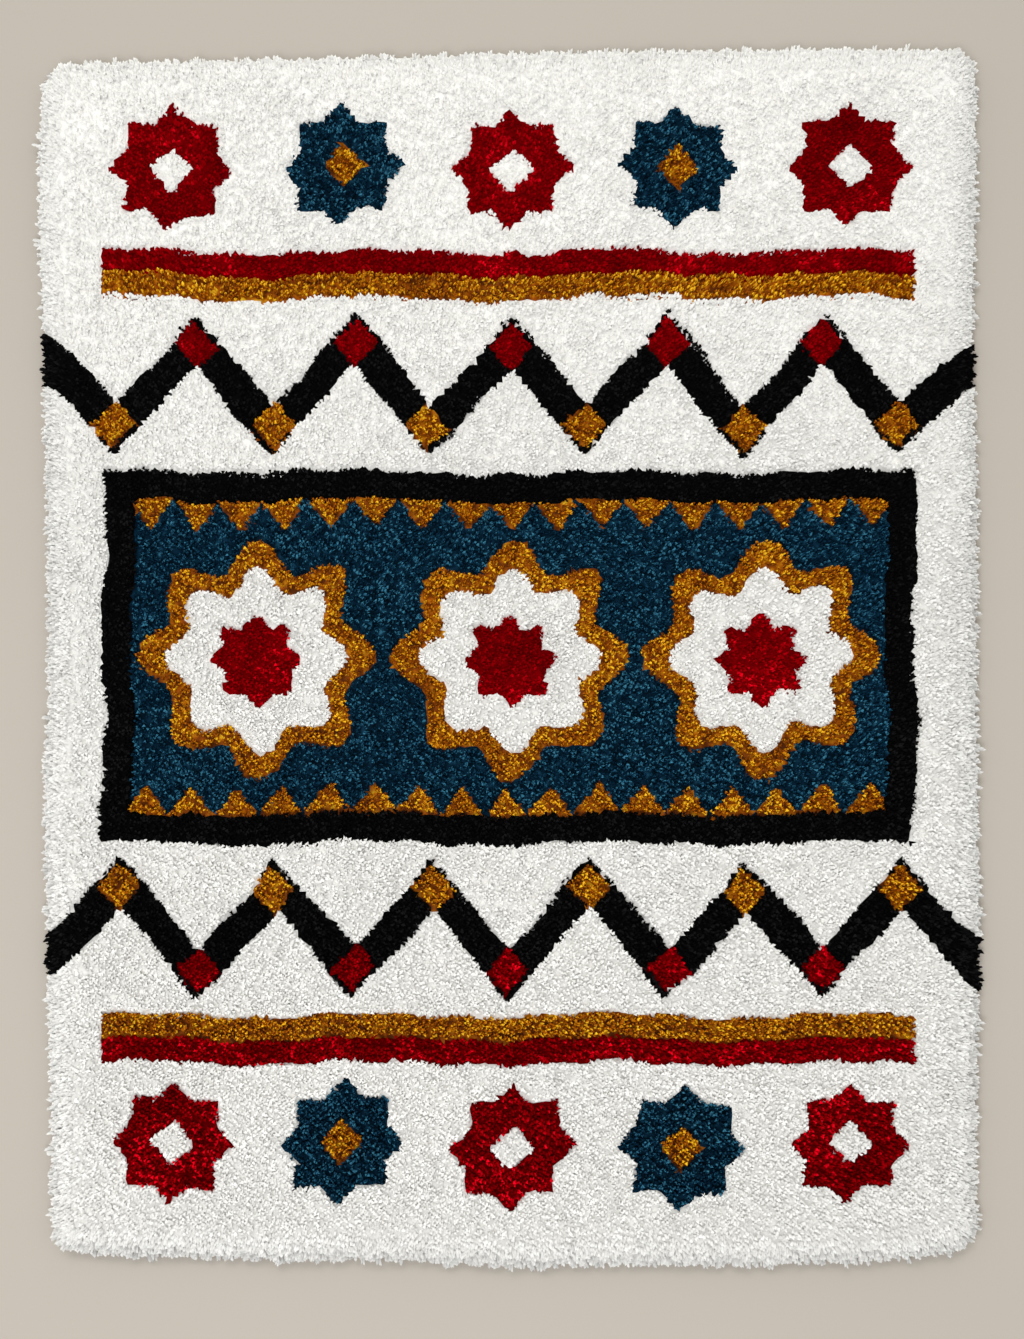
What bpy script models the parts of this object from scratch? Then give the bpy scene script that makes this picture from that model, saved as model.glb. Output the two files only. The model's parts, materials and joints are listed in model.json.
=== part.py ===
# A hand-tufted pile rug, lying flat: one cloth with cut pile, whose tufts lean out past its edge all round.
# Metres, +Z up. The rug lies on z = 0 with its length along Y, and the origin is under its middle.
import math
import random

import bpy
from mathutils import Vector, noise
from mathutils.geometry import delaunay_2d_cdt

# Size of the rug over the tips of its pile, before the wander of its sides.
RUG_WIDTH = 0.705
RUG_LENGTH = 0.911
CORNER_RADIUS = 0.020
CORNER_TIGHTENING = 0.5
PILE_TOP = 0.017

# The rim, as distances inside the line of the tips. The cloth ends first and the pile leans out over it.
CLOTH_INSET = 0.011
WALL_INSET = 0.0065
WALL_TOP = 0.0115
SHOULDER_INSET = 0.0115
SHOULDER_ROUND = 0.020

# Locks of pile that stand out of the rim, each a four-sided point on its own patch of the wall.
# The way round the rim is counted in steps: a lock's patch takes most of them and a gap the rest.
LOCK_COUNT = 286
STEPS_A_LOCK = 20
STEPS_A_PATCH = 16
TIP_STEP = 8
TIP_STEP_SPREAD = 6
LOCK_REACH = 0.0062
LOCK_REACH_SPREAD = 0.0020
LOCK_HEIGHT = 0.0076
LOCK_HEIGHT_SPREAD = 0.0030
LOCK_SEED = 11

# Lumps of the pile's top: one lump for each point of a staggered lattice, on slower swells.
LUMP_PITCH = 0.0158
LUMP_RISE = 0.0015
LUMP_SHIFT = 0.0022
LUMP_SEED = 5
SWELL_LENGTH = 0.060
SWELL_RISE = 0.0016
LATTICE_INSET = 0.0185
INSIDE_ONLY = 1  # the fill's setting that leaves out triangles beyond the ring
NO_MERGE = 1e-7  # points nearer than this would become one

# How far each side bows out of its straight line, in millimetres, at shares of its length.
# Left and right run from the head end to the foot end, head and foot from the left to the right.
SIDE_WANDER = (
    # share, left, right, head, foot
    (0.000, 3.0, -0.5, -7.0, -6.0),
    (0.125, 5.0, -1.5, -4.5, -2.5),
    (0.250, 1.5, -3.0, -3.0, 0.0),
    (0.375, -1.0, 0.0, -0.5, 0.5),
    (0.500, -2.5, 0.0, 1.5, 5.0),
    (0.625, 1.0, 1.0, 3.8, 3.5),
    (0.750, -1.0, 2.5, 4.0, 4.0),
    (0.875, -3.8, -0.5, 5.5, 1.0),
    (1.000, -4.5, 0.0, 4.5, -7.0),
)
LEFT, RIGHT, HEAD, FOOT = 1, 2, 3, 4

YARN_COLOUR = (0.80, 0.79, 0.75, 1.0)
YARN_ROUGHNESS = 0.85


def wander(side, share):
    """How far that side bows out there, in metres, eased from one row of the table to the next."""
    share = min(max(share, 0.0), 1.0)
    for low, high in zip(SIDE_WANDER, SIDE_WANDER[1:]):
        if share <= high[0]:
            step = (share - low[0]) / (high[0] - low[0])
            ease = step * step * (3 - 2 * step)
            return (low[side] + (high[side] - low[side]) * ease) / 1000
    return SIDE_WANDER[-1][side] / 1000


def laid(x, y):
    """The point of the true, uneven rug for a point of the plain round-cornered rectangle."""
    across = x / (RUG_WIDTH / 2)
    along = y / (RUG_LENGTH / 2)
    side = RIGHT if x > 0 else LEFT
    end = HEAD if y > 0 else FOOT
    return (
        x + across * wander(side, (1 - along) / 2),
        y + along * wander(end, (1 + across) / 2),
    )


def plain_ring(inset, count):
    """Evenly spaced points with outward directions, round the plain rectangle set inset inside the tips."""
    half_width = RUG_WIDTH / 2 - inset
    half_length = RUG_LENGTH / 2 - inset
    radius = CORNER_RADIUS - inset * CORNER_TIGHTENING
    corners = ((1, -1, -90), (1, 1, 0), (-1, 1, 90), (-1, -1, 180))
    straights = (2 * (half_length - radius), 2 * (half_width - radius)) * 2
    bend = radius * math.pi / 2
    total = sum(straights) + 4 * bend
    ring = []
    for index in range(count):
        run = index * total / count
        for (sign_x, sign_y, start), straight in zip(corners, straights):
            centre = Vector((sign_x * (half_width - radius), sign_y * (half_length - radius)))
            if run < bend:
                angle = math.radians(start) + run / radius
                out = Vector((math.cos(angle), math.sin(angle)))
                ring.append((centre + out * radius, out))
                break
            run -= bend
            if run < straight:
                angle = math.radians(start + 90)
                out = Vector((math.cos(angle), math.sin(angle)))
                ring.append((centre + out * radius + Vector((-out.y, out.x)) * run, out))
                break
            run -= straight
    return ring


def depth_inside(x, y):
    """How far a point of the plain rectangle lies inside the line of the tips."""
    over_x = abs(x) - (RUG_WIDTH / 2 - CORNER_RADIUS)
    over_y = abs(y) - (RUG_LENGTH / 2 - CORNER_RADIUS)
    outside = math.hypot(max(over_x, 0.0), max(over_y, 0.0))
    return CORNER_RADIUS - outside - min(max(over_x, over_y), 0.0)


def pile_height(x, y):
    """Height of the pile's top: round at the shoulder, with slow swells over the middle."""
    near = min(max(1 - (depth_inside(x, y) - WALL_INSET) / SHOULDER_ROUND, 0.0), 1.0)
    shoulder = WALL_TOP + (PILE_TOP - WALL_TOP) * math.sqrt(1 - near * near)
    return shoulder + SWELL_RISE * noise.noise(Vector((x, y, 0)) / SWELL_LENGTH)


def lump_points(rng):
    """The staggered lattice of lumps over the pile's top, as points of the plain rectangle and heights."""
    row_pitch = LUMP_PITCH * math.sqrt(3) / 2
    rows = int(RUG_LENGTH / row_pitch) + 2
    columns = int(RUG_WIDTH / LUMP_PITCH) + 2
    points = []
    for row in range(rows):
        for column in range(columns):
            x = (column + row % 2 / 2 - columns / 2) * LUMP_PITCH + rng.uniform(-LUMP_SHIFT, LUMP_SHIFT)
            y = (row - rows / 2) * row_pitch + rng.uniform(-LUMP_SHIFT, LUMP_SHIFT)
            rise = rng.uniform(-LUMP_RISE, LUMP_RISE)
            if depth_inside(x, y) > LATTICE_INSET:
                points.append((x, y, pile_height(x, y) + rise))
    return points


def rim_ring(inset):
    """The ends of every lock's patch on the ring at that inset, as points of the plain rectangle."""
    ring = plain_ring(inset, LOCK_COUNT * STEPS_A_LOCK)
    points = []
    for start in range(0, len(ring), STEPS_A_LOCK):
        points += [ring[start][0], ring[start + STEPS_A_PATCH][0]]
    return points


def lock_tips(rng):
    """The point of each lock, out on the line of the tips."""
    ring = plain_ring(WALL_INSET, LOCK_COUNT * STEPS_A_LOCK)
    tips = []
    for start in range(0, len(ring), STEPS_A_LOCK):
        step = start + TIP_STEP + rng.randint(-TIP_STEP_SPREAD, TIP_STEP_SPREAD)
        point, out = ring[step % len(ring)]
        tip = point + out * (LOCK_REACH + rng.uniform(-LOCK_REACH_SPREAD, LOCK_REACH_SPREAD))
        tips.append((tip.x, tip.y, LOCK_HEIGHT + rng.uniform(-LOCK_HEIGHT_SPREAD, LOCK_HEIGHT_SPREAD)))
    return tips


def filled(ring, inner):
    """Triangles over a closed ring with loose points inside it, as indices into ring + inner."""
    flat = [Vector((x, y)) for x, y, _ in ring + inner]
    made = delaunay_2d_cdt(flat, [], [list(range(len(ring)))], INSIDE_ONLY, NO_MERGE)
    origin = [sources[0] for sources in made[3]]
    return [[origin[corner] for corner in face] for face in made[2]]


def rug_mesh():
    """The whole rug as one closed body: flat underside, leaning wall with its locks, and lumpy top."""
    base = [(p.x, p.y, 0.0) for p in rim_ring(CLOTH_INSET)]
    wall = [(p.x, p.y, pile_height(p.x, p.y)) for p in rim_ring(WALL_INSET)]
    tips = lock_tips(random.Random(LOCK_SEED))
    shoulder = [(p.x, p.y, pile_height(p.x, p.y)) for p, _ in plain_ring(SHOULDER_INSET, LOCK_COUNT)]
    inner = shoulder + lump_points(random.Random(LUMP_SEED))

    count = len(base)
    at_wall = count
    at_tip = 2 * count
    at_inner = at_tip + len(tips)
    faces = [list(reversed(face)) for face in filled(base, [])]
    for face in filled(wall, inner):
        faces.append([at_wall + c if c < count else at_inner + c - count for c in face])
    for index in range(count):
        after = (index + 1) % count
        patch = [index, after, at_wall + after, at_wall + index]
        if index % 2:
            faces.append(patch)
            continue
        tip = at_tip + index // 2
        faces += [[a, b, tip] for a, b in zip(patch, patch[1:] + patch[:1])]

    points = [(*laid(x, y), z) for x, y, z in base + wall + tips + inner]
    middle_x = (min(p[0] for p in points) + max(p[0] for p in points)) / 2
    middle_y = (min(p[1] for p in points) + max(p[1] for p in points)) / 2
    mesh = bpy.data.meshes.new("tufted_rug")
    mesh.from_pydata([(x - middle_x, y - middle_y, z) for x, y, z in points], [], faces)
    mesh.validate()
    return mesh


def yarn_material():
    material = bpy.data.materials.new("acrylic_yarn")
    material.use_nodes = True
    shader = material.node_tree.nodes["Principled BSDF"]
    shader.inputs["Base Color"].default_value = YARN_COLOUR
    shader.inputs["Roughness"].default_value = YARN_ROUGHNESS
    shader.inputs["Metallic"].default_value = 0.0
    return material


def build():
    for old in list(bpy.data.objects):
        bpy.data.objects.remove(old)
    mesh = rug_mesh()
    mesh.materials.append(yarn_material())
    rug = bpy.data.objects.new("tufted_rug", mesh)
    bpy.context.scene.collection.objects.link(rug)


build()
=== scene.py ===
# Dresses the tufted rug: a plain backing cloth with some seventy thousand tufts of cut acrylic yarn in it.
# Metres, +Z up, +Y to the head end of the rug. The design is generic: stars, stripes, zigzags and flowers.
import json
import math

import bpy
import numpy as np
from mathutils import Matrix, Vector, noise
from mathutils.bvhtree import BVHTree
from mathutils.geometry import delaunay_2d_cdt
from mathutils.kdtree import KDTree

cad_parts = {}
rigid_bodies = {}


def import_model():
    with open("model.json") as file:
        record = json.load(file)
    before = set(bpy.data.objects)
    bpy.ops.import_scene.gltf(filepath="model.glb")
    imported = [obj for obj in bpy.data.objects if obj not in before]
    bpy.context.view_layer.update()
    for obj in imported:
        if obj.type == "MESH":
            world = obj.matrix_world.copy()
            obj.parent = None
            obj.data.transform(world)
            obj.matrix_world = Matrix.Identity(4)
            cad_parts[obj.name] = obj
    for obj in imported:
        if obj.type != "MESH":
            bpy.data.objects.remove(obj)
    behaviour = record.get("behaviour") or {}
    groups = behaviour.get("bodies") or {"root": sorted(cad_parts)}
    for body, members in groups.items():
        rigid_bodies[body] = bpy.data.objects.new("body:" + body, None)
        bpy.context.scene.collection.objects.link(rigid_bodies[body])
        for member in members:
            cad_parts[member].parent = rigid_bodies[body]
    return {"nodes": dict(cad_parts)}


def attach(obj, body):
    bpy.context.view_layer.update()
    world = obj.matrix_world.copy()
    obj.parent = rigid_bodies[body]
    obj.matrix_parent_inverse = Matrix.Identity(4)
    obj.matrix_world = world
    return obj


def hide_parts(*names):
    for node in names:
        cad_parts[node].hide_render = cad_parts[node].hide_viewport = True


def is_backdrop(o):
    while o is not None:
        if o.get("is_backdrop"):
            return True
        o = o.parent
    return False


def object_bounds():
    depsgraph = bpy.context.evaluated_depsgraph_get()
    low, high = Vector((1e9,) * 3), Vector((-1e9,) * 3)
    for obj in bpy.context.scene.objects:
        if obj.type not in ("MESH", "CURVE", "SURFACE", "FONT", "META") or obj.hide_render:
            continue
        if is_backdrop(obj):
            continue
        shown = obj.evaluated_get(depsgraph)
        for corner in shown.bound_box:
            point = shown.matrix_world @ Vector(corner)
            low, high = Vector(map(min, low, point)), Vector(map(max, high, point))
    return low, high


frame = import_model()
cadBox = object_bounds()
rugNode = "tufted_rug"
mm = 0.001
white, black, red, gold, teal = range(5)

# Small tools that every piece uses


def linearColour(hexColour, alpha=1.0):
    # sRGB hex to the linear values that Blender's sockets take
    parts = [int(hexColour[i:i + 2], 16) / 255 for i in (1, 3, 5)]
    return [c / 12.92 if c <= 0.04045 else ((c + 0.055) / 1.055) ** 2.4 for c in parts] + [alpha]


def addNode(tree, kind, inputs=None, **settings):
    # one node with its settings; an input is a value or another node's socket
    node = tree.nodes.new(kind)
    for name, value in settings.items():
        setattr(node, name, value)
    for key, value in (inputs or {}).items():
        if isinstance(value, bpy.types.NodeSocket):
            tree.links.new(value, node.inputs[key])
        else:
            node.inputs[key].default_value = value
    return node


def maths(tree, operation, *values):
    # the result of one sum, whose values are numbers or sockets
    return addNode(tree, "ShaderNodeMath", dict(enumerate(values)), operation=operation).outputs[0]


def vectorMaths(tree, operation, *values):
    return addNode(tree, "ShaderNodeVectorMath", dict(enumerate(values)), operation=operation).outputs[0]


def scaledBy(tree, vector, scale):
    return addNode(tree, "ShaderNodeVectorMath", {0: vector, "Scale": scale}, operation="SCALE").outputs[0]


def mapRange(tree, value, before, after=(0.0, 1.0)):
    return addNode(tree, "ShaderNodeMapRange", {
        "Value": value, "From Min": before[0], "From Max": before[1],
        "To Min": after[0], "To Max": after[1]}).outputs[0]


def linkObject(name, data):
    made = bpy.data.objects.new(name, data)
    bpy.context.scene.collection.objects.link(made)
    return made


def smoothStep(low, high, value):
    share = np.clip((value - low) / (high - low), 0, 1)
    return share * share * (3 - 2 * share)


def noiseAt(points, size, seed=0.0):
    # smooth noise from about -0.6 to 0.6; the size of its patches is one number, or one for x and one for y
    across, along = np.broadcast_to(size, 2)
    return np.array([noise.noise(Vector((p[0] / across, p[1] / along, seed))) for p in points])


# The cloth's edge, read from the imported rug

clothSizes = {
    "thickness": 1.6 * mm,       # primary cloth, latex and backing together
    "edgeStep": 1.0 * mm,        # spacing of the points that stand for the edge
    "lowEnough": 0.05 * mm,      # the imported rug's underside lies within this of the floor
    "tangentSpan": 6,            # points to each side that give the edge's direction
}


def readClothEdge():
    # the underside's outline, as points in order round the rug and their outward directions
    low = [v.co for v in frame["nodes"][rugNode].data.vertices if v.co.z < clothSizes["lowEnough"]]
    flat = {(round(p.x, 6), round(p.y, 6)) for p in low}
    ring = np.array(sorted(flat, key=lambda p: math.atan2(p[1], p[0])))
    closed = np.vstack([ring, ring[:1]])
    run = np.concatenate([[0], np.cumsum(np.linalg.norm(np.diff(closed, axis=0), axis=1))])
    at = np.arange(0, run[-1], clothSizes["edgeStep"])
    edge = np.stack([np.interp(at, run, closed[:, k]) for k in range(2)], axis=1)
    span = clothSizes["tangentSpan"]
    way = np.roll(edge, -span, axis=0) - np.roll(edge, span, axis=0)
    outward = np.stack([way[:, 1], -way[:, 0]], axis=1)
    return ring, edge, outward / np.linalg.norm(outward, axis=1)[:, None]


ring, edge, outward = readClothEdge()
edgeTree = KDTree(len(edge))
for index, point in enumerate(edge):
    edgeTree.insert((point[0], point[1], 0), index)
edgeTree.balance()
rugMesh = frame["nodes"][rugNode].data
rugSurface = BVHTree.FromPolygons(
    [v.co for v in rugMesh.vertices], [tuple(p.vertices) for p in rugMesh.polygons])
print(f"cloth edge read: {len(ring)} corners, {len(edge) * clothSizes['edgeStep']:.2f} m round")


# The design, in millimetres from the middle of the rug

designSizes = {
    "handSway": 2.0,             # how far a hand-guided line wanders
    # its slow wave's length and start, its quick wave's length, and how that one slants
    "wavesAcross": (23, 0.7, 9.1, 31),
    "wavesAlong": (29, 2.1, 8.3, 27),
    "quickShare": 0.5,           # height of the quick wave beside the slow one
    "motifSway": 2.5,            # how far a motif sits off its place
    "stripes": ((297, 18, red), (279, 18, gold)),   # distance from the rug's middle, height, yarn
    "stripeHalfLength": 306,
    "zigzag": {"middle": 205, "rise": 34, "period": 118, "width": 25},
    "pocket": {"halfWide": 17, "halfTall": 18, "atRise": 0.9, "eachSide": 5},
    "panel": {"halfWide": 306, "halfTall": 140, "frame": 22},
    "sawtooth": {"period": 34, "height": 22},
    "flower": {"spread": 191, "reach": 80, "petals": 8, "lobe": 0.13, "outline": 0.77, "heart": 0.38},
    "star": {"row": 368, "spread": 128, "reach": 47, "reachSpread": 0.04, "heart": 17, "eachSide": 2},
    "seed": 3,
}


def handSway(across, along, waves):
    # how far a hand-guided line strays sideways at each point
    slow, start, quick, slant = waves
    quickWave = designSizes["quickShare"] * np.sin(along / quick + across / slant)
    return designSizes["handSway"] * (np.sin(along / slow + start) + quickWave)


def motifShift(rng):
    # how far one motif sits off its place, across and along
    return rng.uniform(-1, 1, (2, 1)) * designSizes["motifSway"]


def drawStripes(yarn, x, y, end):
    for middle, height, colour in designSizes["stripes"]:
        here = (np.abs(y - end * middle) < height / 2) & (np.abs(x) < designSizes["stripeHalfLength"])
        yarn[here] = colour


def drawZigzag(yarn, x, y, end, rng):
    size, pocket = designSizes["zigzag"], designSizes["pocket"]
    wave = 4 * np.abs((x / size["period"]) % 1 - 0.5) - 1
    slope = math.hypot(1, 4 * size["rise"] / size["period"])
    yarn[np.abs(y - end * (size["middle"] + size["rise"] * wave)) < size["width"] / 2 * slope] = black
    for step in range(-pocket["eachSide"], pocket["eachSide"] + 1):
        side = 1 if step % 2 else -1
        dx = x - step * size["period"] / 2 - rng.uniform(-1, 1) * designSizes["motifSway"]
        dy = y - end * (size["middle"] - side * size["rise"] * pocket["atRise"])
        here = np.abs(dx) / pocket["halfWide"] + np.abs(dy) / pocket["halfTall"] < 1
        yarn[here] = gold if side > 0 else red


def drawStars(yarn, x, y, end, rng):
    size = designSizes["star"]
    for step in range(-size["eachSide"], size["eachSide"] + 1):
        dx, dy = np.array([x, y - end * size["row"]]) - motifShift(rng)
        dx = np.abs(dx - step * size["spread"])
        dy = np.abs(dy)
        reach = size["reach"] * rng.uniform(1 - size["reachSpread"], 1 + size["reachSpread"])
        # an upright square and one on its corner
        yarn[(np.maximum(dx, dy) < reach / math.sqrt(2)) | (dx + dy < reach)] = teal if step % 2 else red
        yarn[dx + dy < size["heart"]] = gold if step % 2 else white


def drawPanel(yarn, x, y, rng):
    size, tooth, flower = designSizes["panel"], designSizes["sawtooth"], designSizes["flower"]
    yarn[(np.abs(x) < size["halfWide"]) & (np.abs(y) < size["halfTall"])] = black
    wide, tall = size["halfWide"] - size["frame"], size["halfTall"] - size["frame"]
    inside = (np.abs(x) < wide) & (np.abs(y) < tall)
    yarn[inside] = teal
    wave = 2 * np.abs((x / tooth["period"]) % 1 - 0.5)
    yarn[inside & (tall - np.abs(y) < tooth["height"] * wave)] = gold
    for step in (-1, 0, 1):
        dx, dy = np.array([x, y]) - motifShift(rng)
        dx = dx - step * flower["spread"]
        lobes = 1 + flower["lobe"] * np.cos(flower["petals"] * np.arctan2(dy, dx))
        far = np.hypot(dx, dy) / flower["reach"] / lobes
        yarn[far < 1] = gold
        yarn[far < flower["outline"]] = white
        yarn[far < flower["heart"]] = red


def yarnAt(x, y):
    # which yarn the design has at each point; later motifs lie over earlier ones
    x, y = (
        x + handSway(x, y, designSizes["wavesAcross"]),
        y + handSway(y, x, designSizes["wavesAlong"]),
    )
    rng = np.random.default_rng(designSizes["seed"])
    yarn = np.full(len(x), white)
    for end in (1, -1):
        drawStripes(yarn, x, y, end)
        drawZigzag(yarn, x, y, end, rng)
        drawStars(yarn, x, y, end, rng)
    drawPanel(yarn, x, y, rng)
    return yarn


# The pile: rows of tufts, each with a root in the cloth and a tip

pileSizes = {
    "rowPitch": 2.85 * mm,       # between the gun's rows
    "stitchPitch": 3.15 * mm,    # along a row; each stitch leaves one tuft of two plies
    "rowClimb": 0.19,            # how much the rows climb to the right
    "rowSway": 2.6 * mm,         # how far a row wanders up and down
    "rowSwaySize": (30 * mm, 14 * mm),
    "shift": 1.0 * mm,           # how unevenly the stitches fall
    "rimPitch": 3.0 * mm,        # of the rows that follow the cloth's edge, measured out at their tips
    "rimReach": 12 * mm,         # how far out that is
    "rimDepths": [d * mm for d in (0.6, 1.9, 3.2, 4.6, 6.0, 7.5, 9.0)],
    "rimDepthSpread": 0.5 * mm,
    "splayedRows": 3,            # the outermost of those rows, whose plies stand apart
    "rootsAt": 0.9,              # share of the cloth's thickness where the tufts begin
    "outlineReach": 1.7 * mm,    # a tuft nearer than this to another yarn stands back from it
    "outlineShift": 1.5 * mm,
    "outlineFlop": (0.0, 0.25),  # shares of the flop that such a tuft and the tufts behind it keep
    "behindReach": 4.2 * mm,     # how far from the other yarn those are
    "outlineTipShift": 0.3,      # share of the tips' scatter that all of them keep
    "yarnLength": 15.2 * mm,     # from the cloth to the tip
    "rimLonger": 0.6 * mm,       # tufts at the edge are splayed and reach further
    "rimUneven": 2.6 * mm,       # how much that differs from one bunch of tufts to the next
    "rimBunch": 8 * mm,
    "cornerLonger": 2.4 * mm,    # and those round the corners further still
    "plainRim": (8 * mm, 16 * mm),   # depths between which the top's lumps and ridges set in
    "rimTurn": 58,               # degrees by which the outermost tufts lean out
    "leanScatter": (2, 9),       # degrees by which the tufts' leans vary, over the field and where splayed
    "rimFade": 9.5 * mm,         # how fast that lean fades inwards
    "steepest": 78,              # degrees; past this a tuft would lie in the floor
    "napWay": (0.8 * mm, 1.8 * mm),   # which way the pile lies, at its tip
    "napSwirl": 4.0 * mm,        # how far that way changes over the rug
    "napPatch": 105 * mm,        # size of the patches that lie one way
    "flop": 1.9 * mm,            # how far the cut tips fall over along their row
    "flopSpread": 0.35,          # share by which that varies from tuft to tuft
    "flopSink": 0.25,            # share of it by which they sink as they fall
    "rimFlop": 1.8 * mm,         # at the rim they fall any way
    "rimFlopSpread": (0.5, 1.2),
    "anyWayFrom": 0.45,          # share of the rim's lean from which that is so
    "rimGather": 2.6 * mm,       # how far the tips of a bunch gather along the edge
    "flopScatter": 45,           # degrees by which its way varies from tuft to tuft
    "flopAtEnds": (0.6, 0.25),   # its share at the head and foot, where the pile stands more upright
    "endsFrom": 0.5,             # share of half the length from which that sets in
    "flopTurn": 35,              # degrees by which its way wanders over the rug
    "flopPatch": 48 * mm,
    "ridge": (13 * mm, 6.5 * mm),      # size of the small ridges into which tufts bunch
    "ridgeTilt": 0.3,            # how much the ridges climb to the right
    "ridgePull": 2.0 * mm,
    "ridgeRise": 1.7 * mm,
    "tipShift": 0.45 * mm,
    "tipRise": 0.5 * mm,
    "noiseSeeds": {"rowSway": 8.3, "ridge": 2.5, "flop": 4.7, "rimLength": 5.9, "rimGather": 3.3,
                   "swirl": (0.3, 7.1)},
    "seed": 7,
}


def insideCloth(points):
    # the points that lie on the cloth, how deep inside its edge, and the nearest point of the edge
    angle = np.arctan2(points[:, 1], points[:, 0])
    edgeAngle = np.arctan2(edge[:, 1], edge[:, 0])
    order = np.argsort(edgeAngle)
    reach = np.interp(angle, edgeAngle[order], np.linalg.norm(edge[order], axis=1), period=2 * math.pi)
    points = points[np.linalg.norm(points, axis=1) < reach]
    found = [edgeTree.find((p[0], p[1], 0)) for p in points]
    return points, np.array([f[2] for f in found]), np.array([f[1] for f in found])


def layStitches(sizes, rng):
    # roots over the cloth: rows that climb and wander a little, and rows that follow its edge
    half = np.abs(edge).max(axis=0)
    climb = half[0] * sizes["rowClimb"]
    rows = np.arange(-half[1] - climb, half[1] + climb, sizes["rowPitch"])
    columns = np.arange(-half[0], half[0], sizes["stitchPitch"])
    x, y = np.meshgrid(columns, rows)
    x = x + rng.uniform(0, sizes["stitchPitch"], (len(rows), 1))
    roots = np.stack([x.ravel(), y.ravel() + x.ravel() * sizes["rowClimb"]], axis=1)
    roots[:, 1] += sizes["rowSway"] * noiseAt(roots, sizes["rowSwaySize"], sizes["noiseSeeds"]["rowSway"])
    roots += rng.uniform(-sizes["shift"], sizes["shift"], roots.shape)
    roots, depth, near = insideCloth(roots)
    keep = depth > sizes["rimDepths"][-1] + sizes["rowPitch"] / 2
    parts = [(roots[keep], depth[keep], near[keep], np.zeros(keep.sum(), bool))]
    tips = edge + outward * sizes["rimReach"]
    run = np.cumsum(np.linalg.norm(tips - np.roll(tips, 1, axis=0), axis=1))
    for row, rimDepth in enumerate(sizes["rimDepths"]):
        start = (row % 2) * sizes["rimPitch"] / 2
        at = np.searchsorted(run, np.arange(start, run[-1], sizes["rimPitch"])) % len(edge)
        depths = rimDepth + rng.uniform(-sizes["rimDepthSpread"], sizes["rimDepthSpread"], len(at))
        splayed = np.full(len(at), row < sizes["splayedRows"])
        parts.append((edge[at] - outward[at] * depths[:, None], depths, at, splayed))
    return [np.concatenate(column) for column in zip(*parts)]


def standBack(roots, sizes):
    # each tuft's yarn, with the tufts next to another yarn moved off it, as rows along an outline lie,
    # and whether another yarn lies next to it or just beyond its neighbour
    yarn = yarnAt(*(roots / mm).T)
    away = np.zeros_like(roots)
    behind = np.zeros(len(roots), bool)
    for eighth in range(8):
        way = np.array([math.cos(eighth * math.pi / 4), math.sin(eighth * math.pi / 4)])
        other = yarnAt(*((roots + way * sizes["outlineReach"]) / mm).T) != yarn
        away -= way * other[:, None]
        behind |= yarnAt(*((roots + way * sizes["behindReach"]) / mm).T) != yarn
    far = np.linalg.norm(away, axis=1)
    return roots + sizes["outlineShift"] * away / np.maximum(far, 1)[:, None], yarn, far > 0, behind


def topAt(points, fallback):
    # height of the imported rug's top under each point
    down = Vector((0, 0, -1))
    hits = [rugSurface.ray_cast(Vector((p[0], p[1], 1)), down)[0] for p in points]
    return np.array([h.z if h is not None else fallback for h in hits])


def leanOut(depth, near, sizes):
    # how much of the rim's lean is left that deep inside the cloth's edge, and the pile's length there
    fade = np.exp(-depth / sizes["rimFade"])
    corner = (2 * outward[near, 0] * outward[near, 1]) ** 2
    return fade, sizes["yarnLength"] + (sizes["rimLonger"] + sizes["cornerLonger"] * corner) * fade


def ridgeAt(points, sizes, shift=0):
    # the small ridges into which tufts bunch, from about -0.6 to 0.6
    tilted = points - np.column_stack([np.zeros(len(points)), points[:, 0] * sizes["ridgeTilt"]])
    return noiseAt(tilted + [0, shift], sizes["ridge"], sizes["noiseSeeds"]["ridge"])


def pileRise(points, depth, sizes):
    # how much longer the pile is there than the plain yarn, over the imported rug's lumps and the ridges
    plainTop = clothSizes["thickness"] + sizes["yarnLength"]
    inner = smoothStep(*sizes["plainRim"], depth)
    return (topAt(points, plainTop) - plainTop + sizes["ridgeRise"] * ridgeAt(points, sizes)) * inner


def flopWays(roots, fade, sizes, rng):
    # how far each tuft's tips fall over, mostly along their row
    count = len(roots)
    patches = noiseAt(roots, sizes["flopPatch"], sizes["noiseSeeds"]["flop"])
    turn = math.radians(2 * sizes["flopTurn"]) * patches
    turn += math.atan(sizes["rowClimb"]) + math.radians(sizes["flopScatter"]) * rng.normal(0, 1, count)
    half = np.abs(edge).max(axis=0)[1]
    atHead, atFoot = sizes["flopAtEnds"]
    start = sizes["endsFrom"]
    share = np.interp(roots[:, 1] / half, (-1, -start, start, 1), (atFoot, 1, 1, atHead))
    far = sizes["flop"] * share * rng.normal(1, sizes["flopSpread"], count) * (1 - fade)
    atRim = fade > sizes["anyWayFrom"]
    turn = np.where(atRim, rng.uniform(0, 2 * math.pi, count), turn)
    far = np.where(atRim, sizes["rimFlop"] * rng.uniform(*sizes["rimFlopSpread"], count), far)
    return np.column_stack([np.cos(turn) * far, np.sin(turn) * far, -sizes["flopSink"] * np.abs(far)])


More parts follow.
